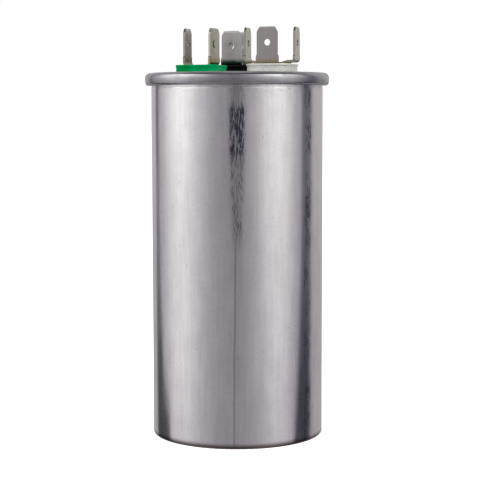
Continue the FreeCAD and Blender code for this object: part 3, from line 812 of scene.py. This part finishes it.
def tent_level(azimuth, elevation):
    """Light that the tent sends back from each direction, in degrees from the camera's side.

    Two soft boxes, bell-shaped in azimuth and weaker towards the floor, over an even level. A
    grey back, a dark gap for the camera, a dark flag beyond each box, a dark roof and a pale
    zenith then take the place of what is there, each by its share in that direction.
    """
    def by_height(*levels):
        """Ten values at ten heights, and straight lines between them."""
        return np.interp(elevation, (-50, -28, -24, -19, -16, -11.5, -5.5, -0.8, 8, 25), levels)
    level = 0.31 + by_height(0.5, 0.25, 0.3, 0.46, 0.55, 0.63, 0.68, 0.92, 0.95, 1.5) * np.exp(
        -((azimuth + 80) / 34) ** 2)
    level = level + by_height(0.45, 0.2, 0.25, 0.36, 0.43, 0.5, 0.64, 0.75, 0.8, 1.4) * np.exp(
        -((azimuth - 54) / 28) ** 2)
    behind = window(np.abs(azimuth), 119, 400, 16)
    left_edge = by_height(-102, -102, -102, -103, -119, -126, -127, -128, -128, -128)
    right_edge = by_height(80, 80, 80, 81, 87, 92, 93, 94, 95, 95)
    for light, share in (
            (by_height(0.5, 0.45, 0.43, 0.44, 0.44, 0.45, 0.49, 0.53, 0.55, 0.5), behind),
            (by_height(0.4, 0.3, 0.3, 0.31, 0.31, 0.31, 0.24, 0.2, 0.2, 0.2),
             window(azimuth, -7, 5, 8)),
            (by_height(0.3, 0.1, 0.06, 0.07, 0.09, 0.15, 0.22, 0.14, 0.14, 0.2),
             window(azimuth, -138, left_edge, 7)),
            (by_height(0.3, 0.1, 0.04, 0.05, 0.06, 0.11, 0.19, 0.17, 0.13, 0.2),
             window(azimuth, right_edge, 112, 8)),
            (0.08, window(elevation, 46, 82, 14) * (1 - 0.6 * behind)),
            (0.45, window(elevation, 82, 200, 10))):
        level = level * (1 - share) + light * share
    return level


def reflection_tent(radius):
    """Sphere that only reflections see, with its light level at each point."""
    centre = np.array((0, 0, CAMERA_PLACE[2]))
    azimuth = np.linspace(-np.pi, np.pi, 720, endpoint=False)
    elevation = np.linspace(-np.pi / 2, np.pi / 2, 181)[:, None]
    flat = np.cos(elevation)
    grid = np.stack([flat * np.sin(azimuth), -flat * np.cos(azimuth),
                     np.sin(elevation) + 0 * azimuth], -1) * radius / MM + centre / MM
    material, tree, _ = new_material("tent_light")
    light = add(tree, "Attribute", attribute_name="light")
    light = add(tree, "Emission", {"Color": light.outputs["Color"], "Strength": 1.0})
    add(tree, "OutputMaterial", {"Surface": light.outputs[0]})
    material.cycles.emission_sampling = "NONE"
    tent = new_piece("reflection_tent", grid, "poles", material)
    mesh = tent.data
    count = len(mesh.vertices)
    place = np.empty(count * 3)
    mesh.vertices.foreach_get("co", place)
    place = place.reshape(-1, 3) - centre
    around = np.degrees(np.arctan2(place[:, 0], -place[:, 1]))
    above = np.degrees(np.arcsin(np.clip(place[:, 2] / radius, -1, 1)))
    level = tent_level(around, above)
    # The dim parts of a studio are cooler than its lamps, and its back is a little warmer
    red = level * np.interp(level, (0.06, 0.3, 0.9), (0.97, 1.06, 1.0))
    cool = np.where(around > 0, 0.25, 0) * np.clip((0.3 - level) / 0.24, 0, 1)
    warm = 0.05 * window(around, 112, 400, 10)
    blue = level * (np.interp(level, (0.3, 0.9), (1.1, 1.0)) + cool - warm)
    light = np.stack([red, level, blue, np.ones(count)], -1)
    mesh.attributes.new("light", "FLOAT_COLOR", "POINT").data.foreach_set(
        "color", light.astype(np.float32).ravel())
    tent.visible_camera = tent.visible_diffuse = tent.visible_shadow = False
    tent.visible_transmission = tent.visible_volume_scatter = False


def soft_world(level):
    """White to the camera, reflections and clear parts, and an even plain level to the rest."""
    world = bpy.data.worlds.new("even_light")
    world.use_nodes = True
    tree = world.node_tree
    tree.nodes.clear()
    ray = add(tree, "LightPath").outputs
    seen = ray["Is Camera Ray"]
    for kind in ("Is Glossy Ray", "Is Transmission Ray"):
        seen = add(tree, "Math", {0: seen, 1: ray[kind]}, operation="MAXIMUM").outputs[0]
    strength = add(tree, "MapRange", {"Value": seen, "To Min": level, "To Max": 1.0})
    light = add(tree, "Background", {"Color": (1, 1, 1, 1), "Strength": strength.outputs[0]})
    add(tree, "OutputWorld", {"Surface": light.outputs[0]})
    bpy.context.scene.world = world


def pale_floor(settings):
    """Plain floor 12 m wide, white to the camera, that keeps the object's soft shadow."""
    corners = 6.0 * np.array([(-1, -1, 0), (1, -1, 0), (1, 1, 0), (-1, 1, 0)])
    mesh = bpy.data.meshes.new("floor")
    mesh.from_pydata(corners.tolist(), [], [(0, 1, 2, 3)])
    floor = bpy.data.objects.new("floor", mesh)
    bpy.context.scene.collection.objects.link(floor)
    material, tree, _ = new_material("painted_floor")
    paint = add(tree, "BsdfDiffuse", {"Color": settings.floor[:]})
    glow = add(tree, "Emission", {"Color": (1, 1, 1, 1), "Strength": 0.75})
    white = add(tree, "AddShader", {0: paint.outputs[0], 1: glow.outputs[0]})
    ray = add(tree, "LightPath")
    both = add(tree, "MixShader", {0: ray.outputs["Is Camera Ray"], 1: paint.outputs[0],
                                   2: white.outputs[0]})
    add(tree, "OutputMaterial", {"Surface": both.outputs[0]})
    mesh.materials.append(material)
    floor.visible_glossy = False


def soft_lamp(name, place, size, power):
    """Square lamp that looks at the object, 0.09 m above the floor."""
    light = bpy.data.lights.new(name, "AREA")
    light.size, light.energy = size, power
    lamp = bpy.data.objects.new(name, light)
    bpy.context.scene.collection.objects.link(lamp)
    away = np.array(place) - (0, 0, 0.09)
    away = away / np.linalg.norm(away)
    side = np.cross((0, 0, 1), away)
    side = side / np.linalg.norm(side)
    turn = Matrix(np.stack([side, np.cross(away, side), away], -1).tolist()).to_4x4()
    lamp.matrix_world = Matrix.Translation(place) @ turn
    lamp.visible_glossy = False


def place_camera():
    """Camera at the photograph's viewing angle: 0.55 m in front, a little below the terminals."""
    pitch, yaw, roll = 0.0914, -0.0018, -0.0021    # radians
    ahead = np.array((0, math.cos(pitch), -math.sin(pitch)))
    right = np.array((1.0, 0, 0))
    turn = np.array([(math.cos(yaw), -math.sin(yaw), 0), (math.sin(yaw), math.cos(yaw), 0),
                     (0, 0, 1)])
    ahead, right = turn @ ahead, turn @ right
    up = np.cross(right, ahead)
    right, up = (math.cos(roll) * right + math.sin(roll) * up,
                 math.cos(roll) * up - math.sin(roll) * right)
    lens = bpy.data.cameras.new("camera")
    lens.sensor_width, lens.lens = 36, 108.75
    camera = bpy.data.objects.new("camera", lens)
    bpy.context.scene.collection.objects.link(camera)
    axes = Matrix(np.stack([right, up, -ahead], -1).tolist()).to_4x4()
    camera.matrix_world = Matrix.Translation(CAMERA_PLACE) @ axes
    bpy.context.scene.camera = camera


class OBJECT_OT_capacitor_studio(bpy.types.Operator):
    """Floor, even light, soft lamps, reflection tent and camera"""
    bl_idname = "object.capacitor_studio"
    bl_label = "Studio"

    def execute(self, context):
        settings = context.scene.studio_settings
        pale_floor(settings)
        soft_world(settings.sky)
        soft_lamp("left_lamp", (-0.9, -0.8, 0.8), 0.6, settings.lamp)
        soft_lamp("right_lamp", (0.9, -0.7, 0.7), 0.6, settings.lamp)
        reflection_tent(settings.tent)
        place_camera()
        context.scene.view_settings.view_transform = "Standard"
        return {"FINISHED"}


class VIEW3D_PT_capacitor(bpy.types.Panel):
    """Buttons and settings of the capacitor"""
    bl_idname = "VIEW3D_PT_capacitor"
    bl_label = "Capacitor"
    bl_space_type = "VIEW_3D"
    bl_region_type = "UI"
    bl_category = "Capacitor"

    def draw(self, context):
        for group in SETTINGS:
            settings = getattr(context.scene, group)
            for name in settings.__annotations__:
                self.layout.prop(settings, name)
        for operator in OPERATORS:
            self.layout.operator(operator.bl_idname)


SETTINGS = {"can_settings": CanSettings, "terminal_settings": TerminalSettings,
            "studio_settings": StudioSettings}
OPERATORS = (OBJECT_OT_capacitor_can, OBJECT_OT_capacitor_lid, OBJECT_OT_capacitor_mouldings,
             OBJECT_OT_capacitor_rivets, OBJECT_OT_capacitor_tabs, OBJECT_OT_capacitor_inside,
             OBJECT_OT_capacitor_studio)


def register():
    for kind in (*SETTINGS.values(), *OPERATORS, VIEW3D_PT_capacitor):
        bpy.utils.register_class(kind)
    for name, kind in SETTINGS.items():
        setattr(bpy.types.Scene, name, bpy.props.PointerProperty(type=kind))


def unregister():
    for name in SETTINGS:
        delattr(bpy.types.Scene, name)
    for kind in (VIEW3D_PT_capacitor, *OPERATORS, *SETTINGS.values()):
        bpy.utils.unregister_class(kind)


def main():
    register()
    for operator in OPERATORS:
        group, name = operator.bl_idname.split(".")
        getattr(getattr(bpy.ops, group), name)()


if __name__ == "__main__":
    main()
